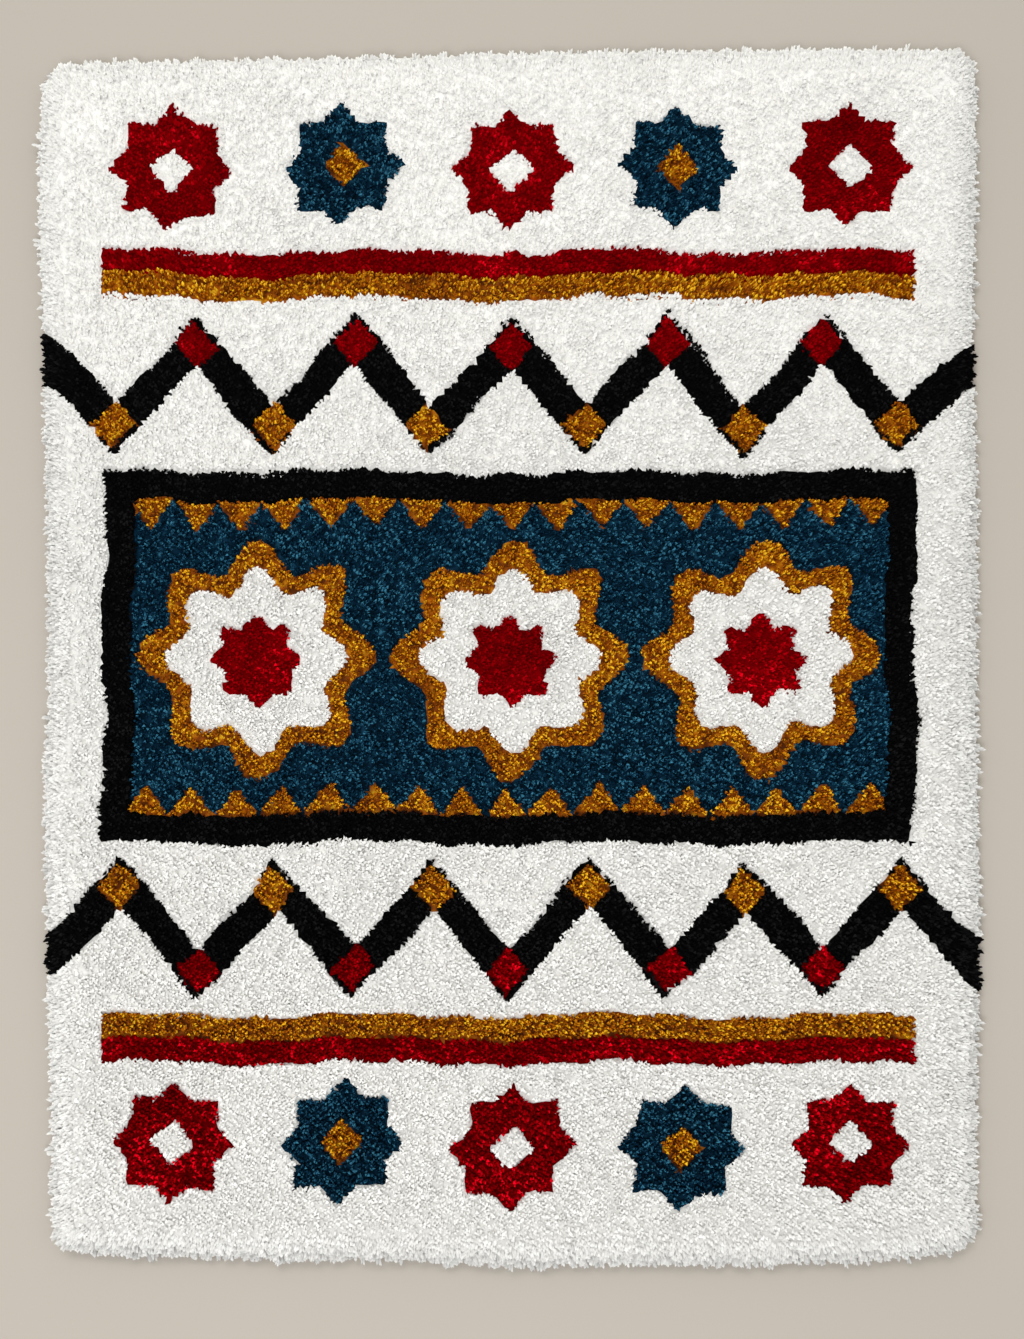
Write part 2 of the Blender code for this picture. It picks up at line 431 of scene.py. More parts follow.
def growTufts(sizes):
    rng = np.random.default_rng(sizes["seed"])
    roots, depth, near, splayed = layStitches(sizes, rng)
    count = len(roots)
    fade, length = leanOut(depth, near, sizes)
    inField, atRim = sizes["leanScatter"]
    turn = sizes["rimTurn"] * fade + rng.normal(0, np.where(splayed, atRim, inField), count)
    turn = np.radians(np.minimum(turn, sizes["steepest"]))

    # how long each tuft is, and how far its tip stands from its root
    seeds = sizes["noiseSeeds"]
    length = length + rng.uniform(-1, 1, count) * sizes["tipRise"]
    length += sizes["rimUneven"] * fade * noiseAt(roots, sizes["rimBunch"], seeds["rimLength"])
    length += pileRise(roots, depth, sizes)
    swirl = np.column_stack([noiseAt(roots, sizes["napPatch"], seed) for seed in seeds["swirl"]])
    nap = np.array(sizes["napWay"]) + sizes["napSwirl"] * swirl
    nap[:, 1] += sizes["ridgePull"] * ridgeAt(roots, sizes, sizes["ridge"][1] / 2)
    lean = outward[near] * (np.sin(turn) * length)[:, None] + nap * (1 - fade)[:, None]
    sideways = np.column_stack([-outward[near, 1], outward[near, 0]])
    gather = sizes["rimGather"] * fade * noiseAt(roots, sizes["rimBunch"], seeds["rimGather"])
    lean += sideways * gather[:, None]

    # along an outline the tufts stand back from it and hold their tips more still
    standing, yarn, outlining, behind = standBack(roots, sizes)
    calm = np.where(outlining | behind, sizes["outlineTipShift"], 1)
    lean += rng.normal(0, sizes["tipShift"], (count, 2)) * calm[:, None]
    tipWay = np.column_stack([lean, np.cos(turn) * length])
    flop = flopWays(roots, fade, sizes, rng)
    least, less = sizes["outlineFlop"]
    flop *= np.where(outlining, least, np.where(behind, less, 1))[:, None]
    rootPoints = np.column_stack([standing, np.full(count, clothSizes["thickness"] * sizes["rootsAt"])])
    return rootPoints, tipWay, flop, yarn, splayed


tuftShapes = {
    "fieldKinds": 10,            # shapes of the tufts over the field
    "rimKinds": 5,               # shapes of the splayed ones at the rim
    "fieldPlies": 2,
    "rimPlies": 4,
    "sides": 3,
    "fieldStart": 0.42,          # share of the length below which the lower pile hides the plies
    "widest": 0.76,              # share of the length where the cut yarn is widest
    "rimWidest": 0.93,           # at the rim the cut ends show, so they are blunter
    "cornerTurn": 0.15,          # share of a side by which a ply's corners stand uneven
    "swell": (0.85, 1.15),       # and the share of its girth
    "cornerRise": 0.5,           # share of the length above the widest place by which they rise and fall
    "alongRow": 0.93,            # how far apart a field tuft's plies stand along the row, in tuft radii
    "acrossRow": 0.84,           # the same across the row
    "placeSpread": 0.2,          # share of that by which each ply is off
    "lowPlace": 0.7,             # share of it that is left at a ply's lower end
    "fieldGirth": (0.94, 0.9),   # a ply's half width along the row and across it
    "tipUneven": 0.08,           # share of the length by which the tips differ
    "tipSpread": 0.25,
    "fieldOpen": 1.1,            # how far the tips part
    "fieldOpenSpread": 0.2,
    "rimPlace": 0.6,
    "rimPlaceSpread": (0.6, 1.2),
    "rimPlyTurn": 0.3,           # share of a rim tuft's spacing by which its plies are off
    "rimGirth": (0.7, 0.7),
    "rimLengths": (0.78, 1.02),
    "rimOpen": 1.5,
    "rimOpenSpread": 0.3,
    # painted shade: rim plies are painted darker, as if they sat that much deeper, for the shaded underside
    # of the rim
    "rimShadeDepth": 0.9,             # rim plies show further down, and are shaded as if that much deeper
    "seed": 19,
}


def addPly(points, faces, bottom, centre, top, girth, widest, shapes, rng):
    # a spindle from its bottom to a tip, added to the lists
    first = len(points)
    sides = shapes["sides"]
    points.append(bottom)
    start = rng.uniform(0, 2 * math.pi)
    off, rise = shapes["cornerTurn"], shapes["cornerRise"]
    for side in range(sides):
        angle = start + (side + rng.uniform(-off, off)) * 2 * math.pi / sides
        swell = rng.uniform(*shapes["swell"])
        points.append((centre[0] + swell * girth[0] * math.cos(angle),
                       centre[1] + swell * girth[1] * math.sin(angle),
                       widest * top[2] + rng.uniform(-rise, rise) * (1 - widest)))
    points.append(top)
    last = len(points) - 1
    for side in range(sides):
        a, b = first + 1 + side, first + 1 + (side + 1) % sides
        faces.append((first, b, a))
        faces.append((last, a, b))


def fieldTuft(shapes, rng):
    # bottom, middle and tip of each ply: the plies stand side by side, a little askew of the row
    plies = shapes["fieldPlies"]
    askew = rng.choice((-1, 1)) * shapes["acrossRow"]
    off, openSpread, low = shapes["placeSpread"], shapes["fieldOpenSpread"], shapes["lowPlace"]
    for ply in range(plies):
        place = (ply + 0.5) * 2 / plies - 1
        x = (place + rng.uniform(-off, off)) * shapes["alongRow"]
        y = (place + rng.uniform(-off, off)) * askew
        spread = shapes["fieldOpen"] * rng.uniform(1 - openSpread, 1 + openSpread)
        tipY = y * spread + rng.uniform(-shapes["tipSpread"], shapes["tipSpread"])
        tipHeight = 1 + rng.uniform(-1, 1) * shapes["tipUneven"]
        yield (x * low, y * low, shapes["fieldStart"]), (x, y), (x * spread, tipY, tipHeight)


def rimTuft(shapes, rng):
    # bottom, middle and tip of each ply: the plies fan out all round
    plies = shapes["rimPlies"]
    off, openSpread = shapes["rimPlyTurn"], shapes["rimOpenSpread"]
    for ply in range(plies):
        angle = (ply + rng.uniform(-off, off)) * 2 * math.pi / plies
        far = shapes["rimPlace"] * rng.uniform(*shapes["rimPlaceSpread"])
        x, y = far * math.cos(angle), far * math.sin(angle)
        spread = shapes["rimOpen"] * rng.uniform(1 - openSpread, 1 + openSpread)
        yield (0, 0, 0), (x, y), (x * spread, y * spread, rng.uniform(*shapes["rimLengths"]))


def makeTuftKinds(shapes):
    # tufts one unit long and one in radius, which the Geometry Nodes scale to the yarn
    rng = np.random.default_rng(shapes["seed"])
    kinds = bpy.data.collections.new("tuftKinds")
    bpy.context.scene.collection.children.link(kinds)
    for kind in range(shapes["fieldKinds"] + shapes["rimKinds"]):
        rim = kind >= shapes["fieldKinds"]
        points, faces, plyShade = [], [], []
        for bottom, centre, top in (rimTuft if rim else fieldTuft)(shapes, rng):
            girth = shapes["rimGirth" if rim else "fieldGirth"]
            widest = shapes["rimWidest" if rim else "widest"]
            addPly(points, faces, bottom, centre, top, girth, widest, shapes, rng)
            plyShade += [rng.uniform(0, 1)] * (len(points) - len(plyShade))
        mesh = bpy.data.meshes.new(f"tuftKind{kind:02d}")
        mesh.from_pydata([tuple(map(float, p)) for p in points], [], faces)
        mesh.shade_smooth()
        place = mesh.attributes.new("strandPlace", "FLOAT_VECTOR", "POINT")
        shown = np.array(points, np.float32)
        # rim plies get lower heights for the painted shade, so they are painted darker
        shown[:, 2] *= shapes["rimShadeDepth"] if rim else 1
        place.data.foreach_set("vector", shown.ravel())
        shade = mesh.attributes.new("plyShade", "FLOAT", "POINT")
        shade.data.foreach_set("value", np.array(plyShade, np.float32))
        kinds.objects.link(bpy.data.objects.new(f"tuftKind{kind:02d}", mesh))
    return kinds


# how far a tuft's normals turn upwards, beside a turn of 1 to the tuft's own way
upwards = (0, 0, 0.7)


def named(tree, name, kind):
    return addNode(tree, "GeometryNodeInputNamedAttribute", {"Name": name},
                   data_type=kind).outputs["Attribute"]


def makePileTree():
    # Geometry Nodes: a tuft on every root, stretched along its way, its tips fallen over
    tree = bpy.data.node_groups.new("tuftedPile", "GeometryNodeTree")
    for name, kind in (("Roots", "Geometry"), ("Tuft Kinds", "Collection"), ("Tuft Radius", "Float"),
                       ("Radius Spread", "Float"), ("Flop Start", "Float"), ("Flop Growth", "Float"),
                       ("Least Flop", "Float"), ("Most Flop", "Float"), ("Softness", "Float"),
                       ("Seed", "Int"), ("Shade Seed", "Int"), ("Yarn", "Material")):
        tree.interface.new_socket(name, in_out="INPUT", socket_type=f"NodeSocket{kind}")
    tree.interface.new_socket("Pile", in_out="OUTPUT", socket_type="NodeSocketGeometry")
    given = tree.nodes.new("NodeGroupInput").outputs

    way = named(tree, "tipWay", "FLOAT_VECTOR")
    length = addNode(tree, "ShaderNodeVectorMath", {0: way}, operation="LENGTH")
    aim = addNode(tree, "FunctionNodeAlignRotationToVector", {"Vector": way}, axis="Z")
    least = maths(tree, "SUBTRACT", 1.0, given["Radius Spread"])
    most = maths(tree, "ADD", 1.0, given["Radius Spread"])
    share = addNode(tree, "FunctionNodeRandomValue", {2: least, 3: most, "Seed": given["Seed"]},
                    data_type="FLOAT")
    radius = maths(tree, "MULTIPLY", share.outputs[1], given["Tuft Radius"])
    size = addNode(tree, "ShaderNodeCombineXYZ", {"X": radius, "Y": radius, "Z": length.outputs["Value"]})
    kinds = addNode(tree, "GeometryNodeCollectionInfo",
                    {"Collection": given["Tuft Kinds"], "Separate Children": True, "Reset Children": True})
    tufts = addNode(tree, "GeometryNodeInstanceOnPoints", {
        "Points": given["Roots"], "Instance": kinds.outputs[0], "Pick Instance": True,
        "Instance Index": named(tree, "tuftKind", "INT"), "Rotation": aim.outputs[0],
        "Scale": size.outputs[0]})
    shade = addNode(tree, "FunctionNodeRandomValue", {2: 0.0, 3: 1.0, "Seed": given["Shade Seed"]},
                    data_type="FLOAT")
    shaded = addNode(tree, "GeometryNodeStoreNamedAttribute",
                     {"Geometry": tufts.outputs[0], "Name": "tuftShade", "Value": shade.outputs[1]},
                     data_type="FLOAT", domain="INSTANCE")
    real = addNode(tree, "GeometryNodeRealizeInstances", {"Geometry": shaded.outputs[0]})

    # past the start of the flop each ply bends over, more and more towards its tip
    place = addNode(tree, "ShaderNodeSeparateXYZ", {0: named(tree, "strandPlace", "FLOAT_VECTOR")})
    past = mapRange(tree, place.outputs["Z"], (given["Flop Start"], 1.0))
    grown = maths(tree, "POWER", past, given["Flop Growth"])
    uneven = mapRange(tree, named(tree, "plyShade", "FLOAT"), (0.0, 1.0),
                      (given["Least Flop"], given["Most Flop"]))
    bend = scaledBy(tree, named(tree, "flopWay", "FLOAT_VECTOR"), maths(tree, "MULTIPLY", grown, uneven))
    bent = addNode(tree, "GeometryNodeSetPosition", {"Geometry": real.outputs[0], "Offset": bend})

    # fibres scatter and pass light, so each point's normal leans to its tuft's way and upwards
    own = addNode(tree, "GeometryNodeInputNormal")
    raised = vectorMaths(tree, "ADD", vectorMaths(tree, "NORMALIZE", way), upwards)
    soft = addNode(tree, "ShaderNodeMix", {
        "Factor": given["Softness"], "A": own.outputs[0], "B": vectorMaths(tree, "NORMALIZE", raised)},
        data_type="VECTOR")
    fluffy = addNode(tree, "GeometryNodeSetMeshNormal", {"Mesh": bent.outputs[0]}, mode="FREE",
                     domain="POINT")
    tree.links.new(soft.outputs["Result"], fluffy.inputs["Custom Normal"])
    dyed = addNode(tree, "GeometryNodeSetMaterial",
                   {"Geometry": fluffy.outputs[0], "Material": given["Yarn"]})
    addNode(tree, "NodeGroupOutput", {0: dyed.outputs[0]})
    return tree


# Yarns. All are cut acrylic: a little lustre along the fibre, and a soft halo where the ends fray.
# "tones" run from the darkest strand to the brightest. One pair of numbers gives how strongly the gaps
# between the strands are painted darker (painted shade) and how much the plies' tones differ, at the head
# and at the foot, and a second pair the heights along the rug at which that change begins and ends.
# "softness" is how far light scatters in the yarn.

yarnFinishes = {
    # bleached and undyed: light passes from fibre to fibre, so its gaps stay pale and their painted shade
    # is weak
    white: {"name": "bleachedWhiteAcrylicYarn", "slot": "white_yarn",
            "tones": ((0.0, "#dcdad4"), (0.5, "#f1f0ea"), (1.0, "#fefdf8")),
            "tuftSpread": 0.2, "plySpread": 0.6, "fleck": 0.5, "clump": 0.3, "patch": 0.2,
            "rootShade": 0.84, "gapShadeAndSpread": (0.5, 1.35), "gapShadeAndSpreadAt": (360 * mm, 100 * mm), "softness": 0.7,
            "roughness": 0.6, "specular": 0.2, "sheen": 0.1},
    # dyed right through and dull; its brightest tone is a painted highlight on the few cut ends that catch
    # the light
    black: {"name": "blackAcrylicYarn", "slot": "black_yarn",
            "tones": ((0.0, "#030303"), (0.6, "#080808"), (1.0, "#161616")),
            "tuftSpread": 0.3, "plySpread": 1.4, "fleck": 0.3, "clump": 0.3, "patch": 0.4,
            "rootShade": 0.62, "gapShadeAndSpread": (0.7, 1.1), "gapShadeAndSpreadAt": (0.0, -400 * mm), "softness": 0.5,
            "roughness": 0.8, "specular": 0.03, "sheen": 0.0},
    # silky: deep and even; its brightest tone is a painted glint on the tips, and its slow patches are
    # painted sheen where the pile lies towards the light
    red: {"name": "crimsonSilkyAcrylicYarn", "slot": "red_yarn",
          "tones": ((0.0, "#580002"), (0.45, "#7a0005"), (0.8, "#9e0009"), (1.0, "#ee061e")),
          "tuftSpread": 0.1, "plySpread": 0.85, "fleck": 0.3, "clump": 0.5, "patch": 0.7,
          "rootShade": 0.6, "gapShadeAndSpread": (0.7, 1.2), "gapShadeAndSpreadAt": (0.0, -400 * mm), "softness": 0.5,
          "roughness": 0.5, "specular": 0.0, "sheen": 0.0},
    # spun from fibres of several shades, so it is mottled from brown to yellow, with painted glints in its
    # brightest tone
    gold: {"name": "ochreHeatherAcrylicYarn", "slot": "gold_yarn",
           "tones": ((0.0, "#5e2a00"), (0.4, "#a45200"), (0.75, "#c87e06"), (1.0, "#ffc826")),
           "tuftSpread": 0.1, "plySpread": 0.85, "fleck": 2.4, "clump": 0.2, "patch": 0.4,
           "rootShade": 0.5, "gapShadeAndSpread": (1.0, 1.1), "gapShadeAndSpreadAt": (0.0, -400 * mm), "softness": 0.3,
           "roughness": 0.5, "specular": 0.04, "sheen": 0.0},
    # matt, with paler fibres that show as fine flecks; its brightest tone is painted glints on the cut tips
    teal: {"name": "petrolBlueAcrylicYarn", "slot": "teal_yarn",
           "tones": ((0.0, "#001522"), (0.5, "#072a3f"), (0.85, "#18465e"), (1.0, "#38768f")),
           "tuftSpread": 0.1, "plySpread": 0.95, "fleck": 2.4, "clump": 0.1, "patch": 0.1,
           "rootShade": 0.55, "gapShadeAndSpread": (1.0, 1.1), "gapShadeAndSpreadAt": (0.0, -400 * mm), "softness": 0.3,
           "roughness": 0.7, "specular": 0.03, "sheen": 0.0},
}
fibreSizes = {
    "across": 2.0,               # streaks over a tuft's radius, coarser than real fibres so that they show
    "along": 1.2,                # the same along its length
    "tuftOffset": 40.0,          # how far apart two tufts lie in the pattern of streaks
    "plyOffset": 7.3,            # the same for the shades of their plies
    "bump": 0.22 * mm,
    "bumpStrength": 0.6,
    "clumpSize": 11 * mm,        # soft clumps into which the pile parts
    # slow patches of tone: stains, and in the silky red painted sheen where the pile lies towards the light
    "stainAndSheenPatch": 60 * mm,         # slow changes of tone over the rug
    "livelyFrom": (0.3, 0.7),    # as that pattern goes from one to the other,
    "lively": (0.8, 1.2),        # the plies' shades differ by this times their spread
    # painted shade of the gaps, which fades between these shares of the length
    "rootsFrom": (0.68, 0.98),   # shares of the length between which the gaps' shade fades
    "sheenRoughness": 0.45,
}


def makeYarn(look):
    made = bpy.data.materials.new(look["name"])
    made.use_nodes = True
    tree = made.node_tree
    shader = tree.nodes["Principled BSDF"]
    place = addNode(tree, "ShaderNodeAttribute", attribute_name="strandPlace").outputs["Vector"]
    tuft, strand = (addNode(tree, "ShaderNodeAttribute", attribute_name=name).outputs["Fac"]
                    for name in ("tuftShade", "plyShade"))
    where = addNode(tree, "ShaderNodeTexCoord").outputs["Object"]

    # fibre streaks run along each ply and differ from tuft to tuft
    moved = vectorMaths(tree, "ADD", place, maths(tree, "MULTIPLY", tuft, fibreSizes["tuftOffset"]))
    grain = (fibreSizes["across"], fibreSizes["across"], fibreSizes["along"])
    streaks = vectorMaths(tree, "MULTIPLY", moved, grain)
    noises = [addNode(tree, "ShaderNodeTexNoise", {"Vector": source, "Scale": scale, "Detail": 1.0})
              for source, scale in ((streaks, 1.0), (where, 1 / fibreSizes["stainAndSheenPatch"]),
                                    (where, 1 / fibreSizes["clumpSize"]))]
    fibre, patch, clump = (node.outputs["Fac"] for node in noises)

    # every ply has a shade of its own, and they differ more in some patches than in others
    ply = maths(tree, "FRACT", maths(tree, "MULTIPLY_ADD", tuft, fibreSizes["plyOffset"], strand))
    # painted shade: how strongly the gaps are painted darker, and how much the plies' tones differ, from
    # the head to the foot
    onRug = addNode(tree, "ShaderNodeSeparateXYZ", {0: where})
    gapShadeAndSpread = mapRange(tree, onRug.outputs["Y"], look["gapShadeAndSpreadAt"][::-1], look["gapShadeAndSpread"][::-1])
    spread = maths(tree, "MULTIPLY", gapShadeAndSpread, look["plySpread"])
    uneven = mapRange(tree, patch, fibreSizes["livelyFrom"], fibreSizes["lively"])
    lively = maths(tree, "MULTIPLY", uneven, spread)

    # tone: the tuft's shade, the ply's, its flecks, and slower changes over the rug, which in the red are
    # painted sheen
    tone = 0.5
    for source, strength in ((tuft, look["tuftSpread"]), (ply, lively), (fibre, look["fleck"]),
                             (clump, look["clump"]), (patch, look["patch"])):
        around = maths(tree, "SUBTRACT", source, 0.5)
        tone = maths(tree, "MULTIPLY_ADD", around, strength, tone)
    # the brightest stops of the dyed yarns' tones are painted glints and highlights on the cut tips
    ramp = addNode(tree, "ShaderNodeValToRGB", {0: tone})
    stops = ramp.color_ramp.elements
    while len(stops) < len(look["tones"]):
        stops.new(0.5)
    for stop, (at, colour) in zip(stops, look["tones"]):
        stop.position = at
        stop.color = linearColour(colour)

    # painted shade: deeper in the pile and below each ply's tip the yarn is painted darker, for the shadow
    # between the strands
    height = addNode(tree, "ShaderNodeSeparateXYZ", {0: place})
    depth = mapRange(tree, height.outputs["Z"], fibreSizes["rootsFrom"], (look["rootShade"] - 1, 0.0))
    shadow = maths(tree, "MULTIPLY_ADD", depth, gapShadeAndSpread, 1.0)
    tree.links.new(scaledBy(tree, ramp.outputs["Color"], shadow), shader.inputs["Base Color"])
    bump = addNode(tree, "ShaderNodeBump", {
        "Height": fibre, "Strength": fibreSizes["bumpStrength"], "Distance": fibreSizes["bump"]})
    tree.links.new(bump.outputs[0], shader.inputs["Normal"])
    shader.inputs["Roughness"].default_value = look["roughness"]
    shader.inputs["Specular IOR Level"].default_value = look["specular"]
    shader.inputs["Sheen Weight"].default_value = look["sheen"]
    shader.inputs["Sheen Roughness"].default_value = fibreSizes["sheenRoughness"]
    return made


pileSettings = {
    "Tuft Radius": 1.75 * mm,    # tufts press against each other, so they are wider than their pitch
    "Radius Spread": 0.14,
    "Flop Start": 0.6,           # share of a ply's length past which it bends over
    "Flop Growth": 1.6,          # how sharply that grows towards the tip
    "Least Flop": 0.35,          # shares of the tuft's flop that its plies take
    "Most Flop": 1.65,
    "Seed": 23,
    "Shade Seed": 5,
}
floorGap = 0.3 * mm              # the lowest strands lie this far above the floor


def sownPiece(name, sown, tree, values):
    # one piece of pile from its rows of roots, ways, flops and kinds
    roots, tipWay, flop, kinds = sown
    mesh = bpy.data.meshes.new(name)
    mesh.vertices.add(len(roots))
    mesh.vertices.foreach_set("co", roots.astype(np.float32).ravel())
    for label, ways in (("tipWay", tipWay), ("flopWay", flop)):
        made = mesh.attributes.new(label, "FLOAT_VECTOR", "POINT")
        made.data.foreach_set("vector", ways.astype(np.float32).ravel())
    mesh.attributes.new("tuftKind", "INT", "POINT").data.foreach_set("value", kinds.astype(np.int32))
    piece = linkObject(name, mesh)
    modifier = piece.modifiers.new("pile", "NODES")
    modifier.node_group = tree
    for socket in tree.interface.items_tree:
        if socket.in_out == "INPUT" and socket.name in values:
            modifier[socket.identifier] = values[socket.name]
    plain = bpy.data.meshes.new_from_object(piece.evaluated_get(bpy.context.evaluated_depsgraph_get()))
    piece.modifiers.clear()
    piece.data = plain
    plain.name = name
    for spare in ("tipWay", "flopWay", "tuftKind"):
        if spare in plain.attributes:
            plain.attributes.remove(plain.attributes[spare])
    place = np.empty(len(plain.vertices) * 3, np.float32)
    plain.vertices.foreach_get("co", place)
    place[2::3] = np.maximum(place[2::3], floorGap)
    plain.vertices.foreach_set("co", place)
    return piece


def makePile(materials):
    roots, tipWay, flop, yarn, splayed = growTufts(pileSizes)
    rng = np.random.default_rng(tuftShapes["seed"])
    field = rng.integers(0, tuftShapes["fieldKinds"], len(roots))
    rim = tuftShapes["fieldKinds"] + rng.integers(0, tuftShapes["rimKinds"], len(roots))
    kinds = np.where(splayed, rim, field)
    collection, tree = makeTuftKinds(tuftShapes), makePileTree()
    whites = np.flatnonzero(yarn == white)
    thirds = np.array_split(whites[np.argsort(-roots[whites, 1])], 3)
    batches = [(f"pileWhite{place}", white, rows)
               for place, rows in zip(("Head", "Middle", "Foot"), thirds)]
    batches += [(name, key, np.flatnonzero(yarn == key)) for name, key in
                (("pileBlack", black), ("pileRed", red), ("pileGold", gold), ("pileTeal", teal))]
    pieces = []
    for name, key, rows in batches:
        sown = [column[rows] for column in (roots, tipWay, flop, kinds)]
        look = yarnFinishes[key]
        values = {**pileSettings, "Softness": look["softness"], "Tuft Kinds": collection,
                  "Yarn": materials[key]}
        piece = sownPiece(name, sown, tree, values)
        pieces.append(piece)
        print(f"{name}: {len(rows)} tufts, {len(piece.data.polygons)} triangles")
    print(f"pile: {len(roots)} tufts, {sum(len(p.data.polygons) for p in pieces)} triangles")
    for kind in list(collection.objects):
        bpy.data.objects.remove(kind)
    bpy.data.collections.remove(collection)
    return pieces


# The lower pile: yarn packed so tightly that it is one mass, which the tufts stand out of

lowerSizes = {
    "pitch": 4.8 * mm,
    # how much of the pile's length it takes up, from the foot to the head, at places along half the rug
    "whiteShares": ((-0.8, 0.15, 0.45, 0.8), (0.65, 0.69, 0.73, 0.76)),
    "dyedShares": ((-0.8, 0, 0.8), (0.60, 0.70, 0.71)),
    "uneven": 0.3 * mm,
    "shift": 0.25,               # share of the pitch by which its points are off the lattice
    "edgeGap": 0.6,              # share of the pitch that they keep from the cloth's edge
    # kept low among the tufts' shades, so the lower pile is painted darker, as painted shade in the gaps
    "shade": (0.2, 0.5),         # its strands' shades, among the tufts' from 0 to 1
    "insideOnly": 1,             # the fill's setting that leaves out triangles beyond the ring
    "noMerge": 1e-7,             # points nearer than this would become one
    "seed": 31,
}


def makeLowerPile(sizes, materials):
    rng = np.random.default_rng(sizes["seed"])
    half = np.abs(edge).max(axis=0)
    x, y = np.meshgrid(*[np.arange(-h, h, sizes["pitch"]) for h in half])
    lattice = np.stack([x.ravel(), y.ravel()], axis=1)
    lattice += rng.uniform(-sizes["shift"], sizes["shift"], lattice.shape) * sizes["pitch"]
    lattice, depth, near = insideCloth(lattice)
    keep = depth > sizes["pitch"] * sizes["edgeGap"]
    at = np.arange(0, len(edge), round(sizes["pitch"] / clothSizes["edgeStep"]))
    count = len(at)
    flat = np.vstack([edge[at], lattice[keep]])
    made = delaunay_2d_cdt([Vector(p) for p in flat.tolist()], [], [list(range(count))],
                           sizes["insideOnly"], sizes["noMerge"])
    origin = [sources[0] for sources in made[3]]
    faces = [tuple(origin[corner] for corner in face) for face in made[2]]
    topFaces = len(faces)
    low = len(flat)
    faces += [(low + (i + 1) % count, (i + 1) % count, i, low + i) for i in range(count)]
    faces.append(tuple(low + i for i in reversed(range(count))))

    # its top lies part of the way along the tufts, so it leans out at the rim as they do
    near = np.concatenate([at, near[keep]])
    depth = np.concatenate([np.zeros(count), depth[keep]])
    fade, length = leanOut(depth, near, pileSizes)
    length = length + pileRise(flat, depth, pileSizes)
    turn = np.radians(pileSizes["rimTurn"] * fade)
    whiteShare, dyedShare = (
        np.interp(flat[:, 1] / half[1], *sizes[key]) for key in ("whiteShares", "dyedShares"))
    share = np.where(yarnAt(*(flat / mm).T) == white, whiteShare, dyedShare)
    reach = length * share + rng.uniform(-1, 1, len(flat)) * sizes["uneven"]
    way = outward[near] * np.sin(turn)[:, None]
    top = np.column_stack([flat + way * reach[:, None], clothSizes["thickness"] + np.cos(turn) * reach])
    bottom = np.column_stack([edge[at], np.full(count, clothSizes["thickness"] / 2)])
    points = np.vstack([top, bottom])
    mesh = bpy.data.meshes.new("lowerPile")
    mesh.from_pydata([tuple(p) for p in points.tolist()], [], faces)
    middles = np.array([flat[list(face)].mean(axis=0) for face in faces[:topFaces]])
    yarns = np.concatenate([yarnAt(*(middles / mm).T), yarnAt(*(edge[at] / mm).T), [white]])
    for key in sorted(materials):
        mesh.materials.append(materials[key])
    mesh.polygons.foreach_set("material_index", yarns.astype(np.int32))
    for label, (least, most) in (("tuftShade", (0, 0)), ("plyShade", sizes["shade"])):
        shade = mesh.attributes.new(label, "FLOAT", "POINT")
        shade.data.foreach_set("value", rng.uniform(least, most, len(points)).astype(np.float32))
    # its heights lie below the tufts' tips, so the painted root shade paints it darker too
    place = mesh.attributes.new("strandPlace", "FLOAT_VECTOR", "POINT")
    place.data.foreach_set("vector", (points / pileSizes["yarnLength"]).astype(np.float32).ravel())
    bed = linkObject("lowerPile", mesh)
    print(f"lower pile: {len(faces)} faces")
    return bed


# The backing cloth: a plain weave, glued to the roots, whose underside lies on the floor

clothLook = {
    "name": "plainWovenPolyesterBacking",
    "warp": "#cdc3ae", "weft": "#b7ab94",
    "threads": 1.6 * mm,         # from one thread to the next
    "waveSpacing": 0.32,         # how far apart the wave texture's bands are at a scale of 1
    "wander": 0.6, "fineness": 2.0,
    "bump": 0.25 * mm, "bumpStrength": 0.7, "roughness": 0.9,
}


def makeClothMaterial(look):
    made = bpy.data.materials.new(look["name"])
    made.use_nodes = True
    tree = made.node_tree
    shader = tree.nodes["Principled BSDF"]
    where = addNode(tree, "ShaderNodeTexCoord")
    threads = []
    for direction in ("X", "Y"):
        wave = addNode(tree, "ShaderNodeTexWave",
                       {"Vector": where.outputs["Object"], "Scale": look["waveSpacing"] / look["threads"],
                        "Distortion": look["wander"], "Detail": look["fineness"],
                        "Detail Scale": look["fineness"]}, wave_type="BANDS", bands_direction=direction)
        threads.append(wave.outputs["Fac"])
    weave = maths(tree, "MAXIMUM", *threads)
    colour = addNode(tree, "ShaderNodeMix", {
        "Factor": weave, "A": linearColour(look["weft"]), "B": linearColour(look["warp"])},
        data_type="RGBA")
    bump = addNode(tree, "ShaderNodeBump", {
        "Height": weave, "Strength": look["bumpStrength"], "Distance": look["bump"]})
    tree.links.new(colour.outputs["Result"], shader.inputs["Base Color"])
    tree.links.new(bump.outputs[0], shader.inputs["Normal"])
    shader.inputs["Roughness"].default_value = look["roughness"]
    return made


def makeBacking():
    count = len(ring)
    points = [(x, y, z) for z in (0.0, clothSizes["thickness"]) for x, y in ring]
    faces = [list(reversed(range(count))), list(range(count, 2 * count))]
    faces += [(i, (i + 1) % count, count + (i + 1) % count, count + i) for i in range(count)]
    mesh = bpy.data.meshes.new("backingCloth")
    mesh.from_pydata(points, [], faces)
    mesh.materials.append(makeClothMaterial(clothLook))
    cloth = linkObject("backingCloth", mesh)
    return cloth


# Studio: pale floor, soft light from the head end, and a camera straight above

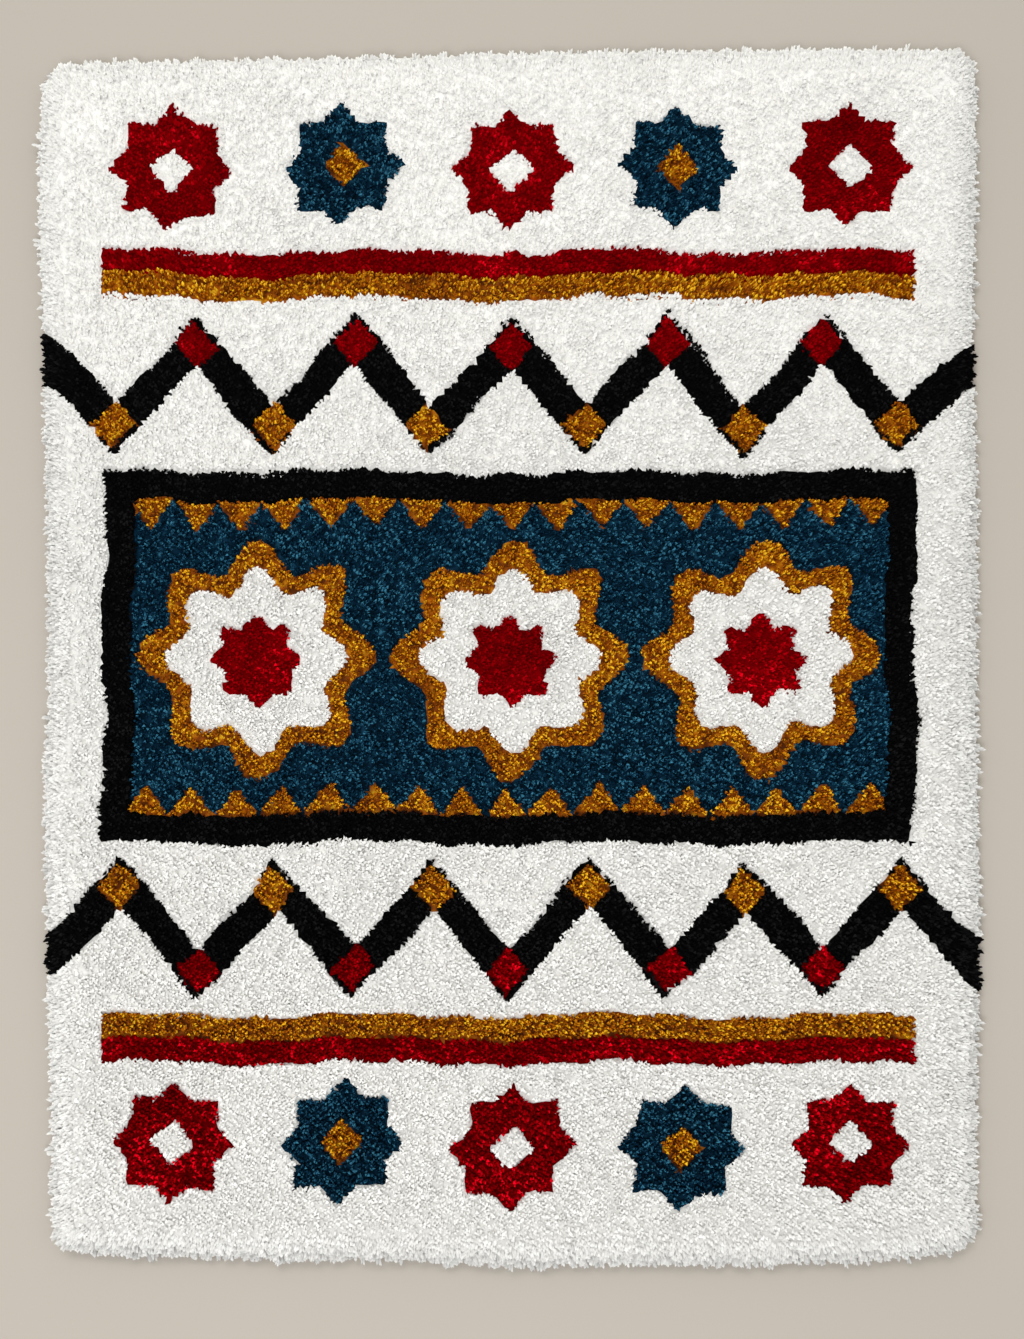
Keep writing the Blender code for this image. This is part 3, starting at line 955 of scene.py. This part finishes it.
studio = {
    "floorColour": "#b0a89c",    # matt paint: no mirror image under the rim
    "floorRoughness": 0.7,
    "floorReach": 4,
    "skyColour": "#f1f2f2",
    "skyStrength": 0.78,
    "skySlope": 0.45,            # how much brighter it is towards the head than its middle
    "lights": (
        # name, place, size, watts, colour
        ("windowAtHead", (-1.5, 5.0, 6.6), (3.8, 2.6), 215, "#fffdfa"),
        ("lampAbove", (-0.3, -0.6, 2.0), (1.2, 1.2), 21, "#fafaff"),
    ),
    "cameraHeight": 1.30,
    "frameHeight": 1.0135,       # what the picture's long side spans at the height of the rim's tips
    "rimHeight": 0.008,
    "frameMiddle": (0.0023, -0.0083),
}


def makeStudio():
    reach = studio["floorReach"]
    floor = linkObject("floor", bpy.data.meshes.new("floor"))
    corners = [(-reach, -reach, 0), (reach, -reach, 0), (reach, reach, 0), (-reach, reach, 0)]
    floor.data.from_pydata(corners, [], [(0, 1, 2, 3)])
    paint = bpy.data.materials.new("paleMattFloor")
    paint.use_nodes = True
    shader = paint.node_tree.nodes["Principled BSDF"]
    shader.inputs["Base Color"].default_value = linearColour(studio["floorColour"])
    shader.inputs["Roughness"].default_value = studio["floorRoughness"]
    floor.data.materials.append(paint)
    floor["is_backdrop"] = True

    world = bpy.data.worlds.new("softSky")
    world.use_nodes = True
    tree = world.node_tree
    sky = tree.nodes["Background"]
    sky.inputs["Color"].default_value = linearColour(studio["skyColour"])
    where = addNode(tree, "ShaderNodeTexCoord")
    way = addNode(tree, "ShaderNodeSeparateXYZ", {0: where.outputs["Generated"]})
    strengths = [studio["skyStrength"] * (1 + side * studio["skySlope"]) for side in (-1, 1)]
    strength = mapRange(tree, way.outputs["Y"], (-1.0, 1.0), strengths)
    tree.links.new(strength, sky.inputs["Strength"])
    bpy.context.scene.world = world
    for name, place, size, watts, colour in studio["lights"]:
        light = bpy.data.lights.new(name, "AREA")
        light.shape = "RECTANGLE"
        light.size, light.size_y = size
        light.energy = watts
        light.color = linearColour(colour)[:3]
        lamp = linkObject(name, light)
        lamp.location = place
        lamp.rotation_euler = (-Vector(place)).to_track_quat("-Z", "Y").to_euler()

    lens = bpy.data.cameras.new("fromAbove")
    camera = linkObject("fromAbove", lens)
    camera.location = (*studio["frameMiddle"], studio["cameraHeight"])
    halfTangent = studio["frameHeight"] / 2 / (studio["cameraHeight"] - studio["rimHeight"])
    lens.lens = lens.sensor_width / 2 / halfTangent
    bpy.context.scene.camera = camera
    bpy.context.scene.view_settings.view_transform = "Standard"


makeStudio()
print("studio ready")
backing = makeBacking()
print("backing cloth made")
yarns = {key: makeYarn(look) for key, look in yarnFinishes.items()}
pile = [makeLowerPile(lowerSizes, yarns), *makePile(yarns)]
for piece in [backing, *pile]:
    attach(piece, "root")
    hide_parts(rugNode)
clothSpan = [float(2 * s) for s in np.abs(ring).max(axis=0)]
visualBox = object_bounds()
grown = [round((b - a) / mm, 1) for k in range(2) for a, b in zip(cadBox[k], visualBox[k])]
print("box grew by", grown, "mm")
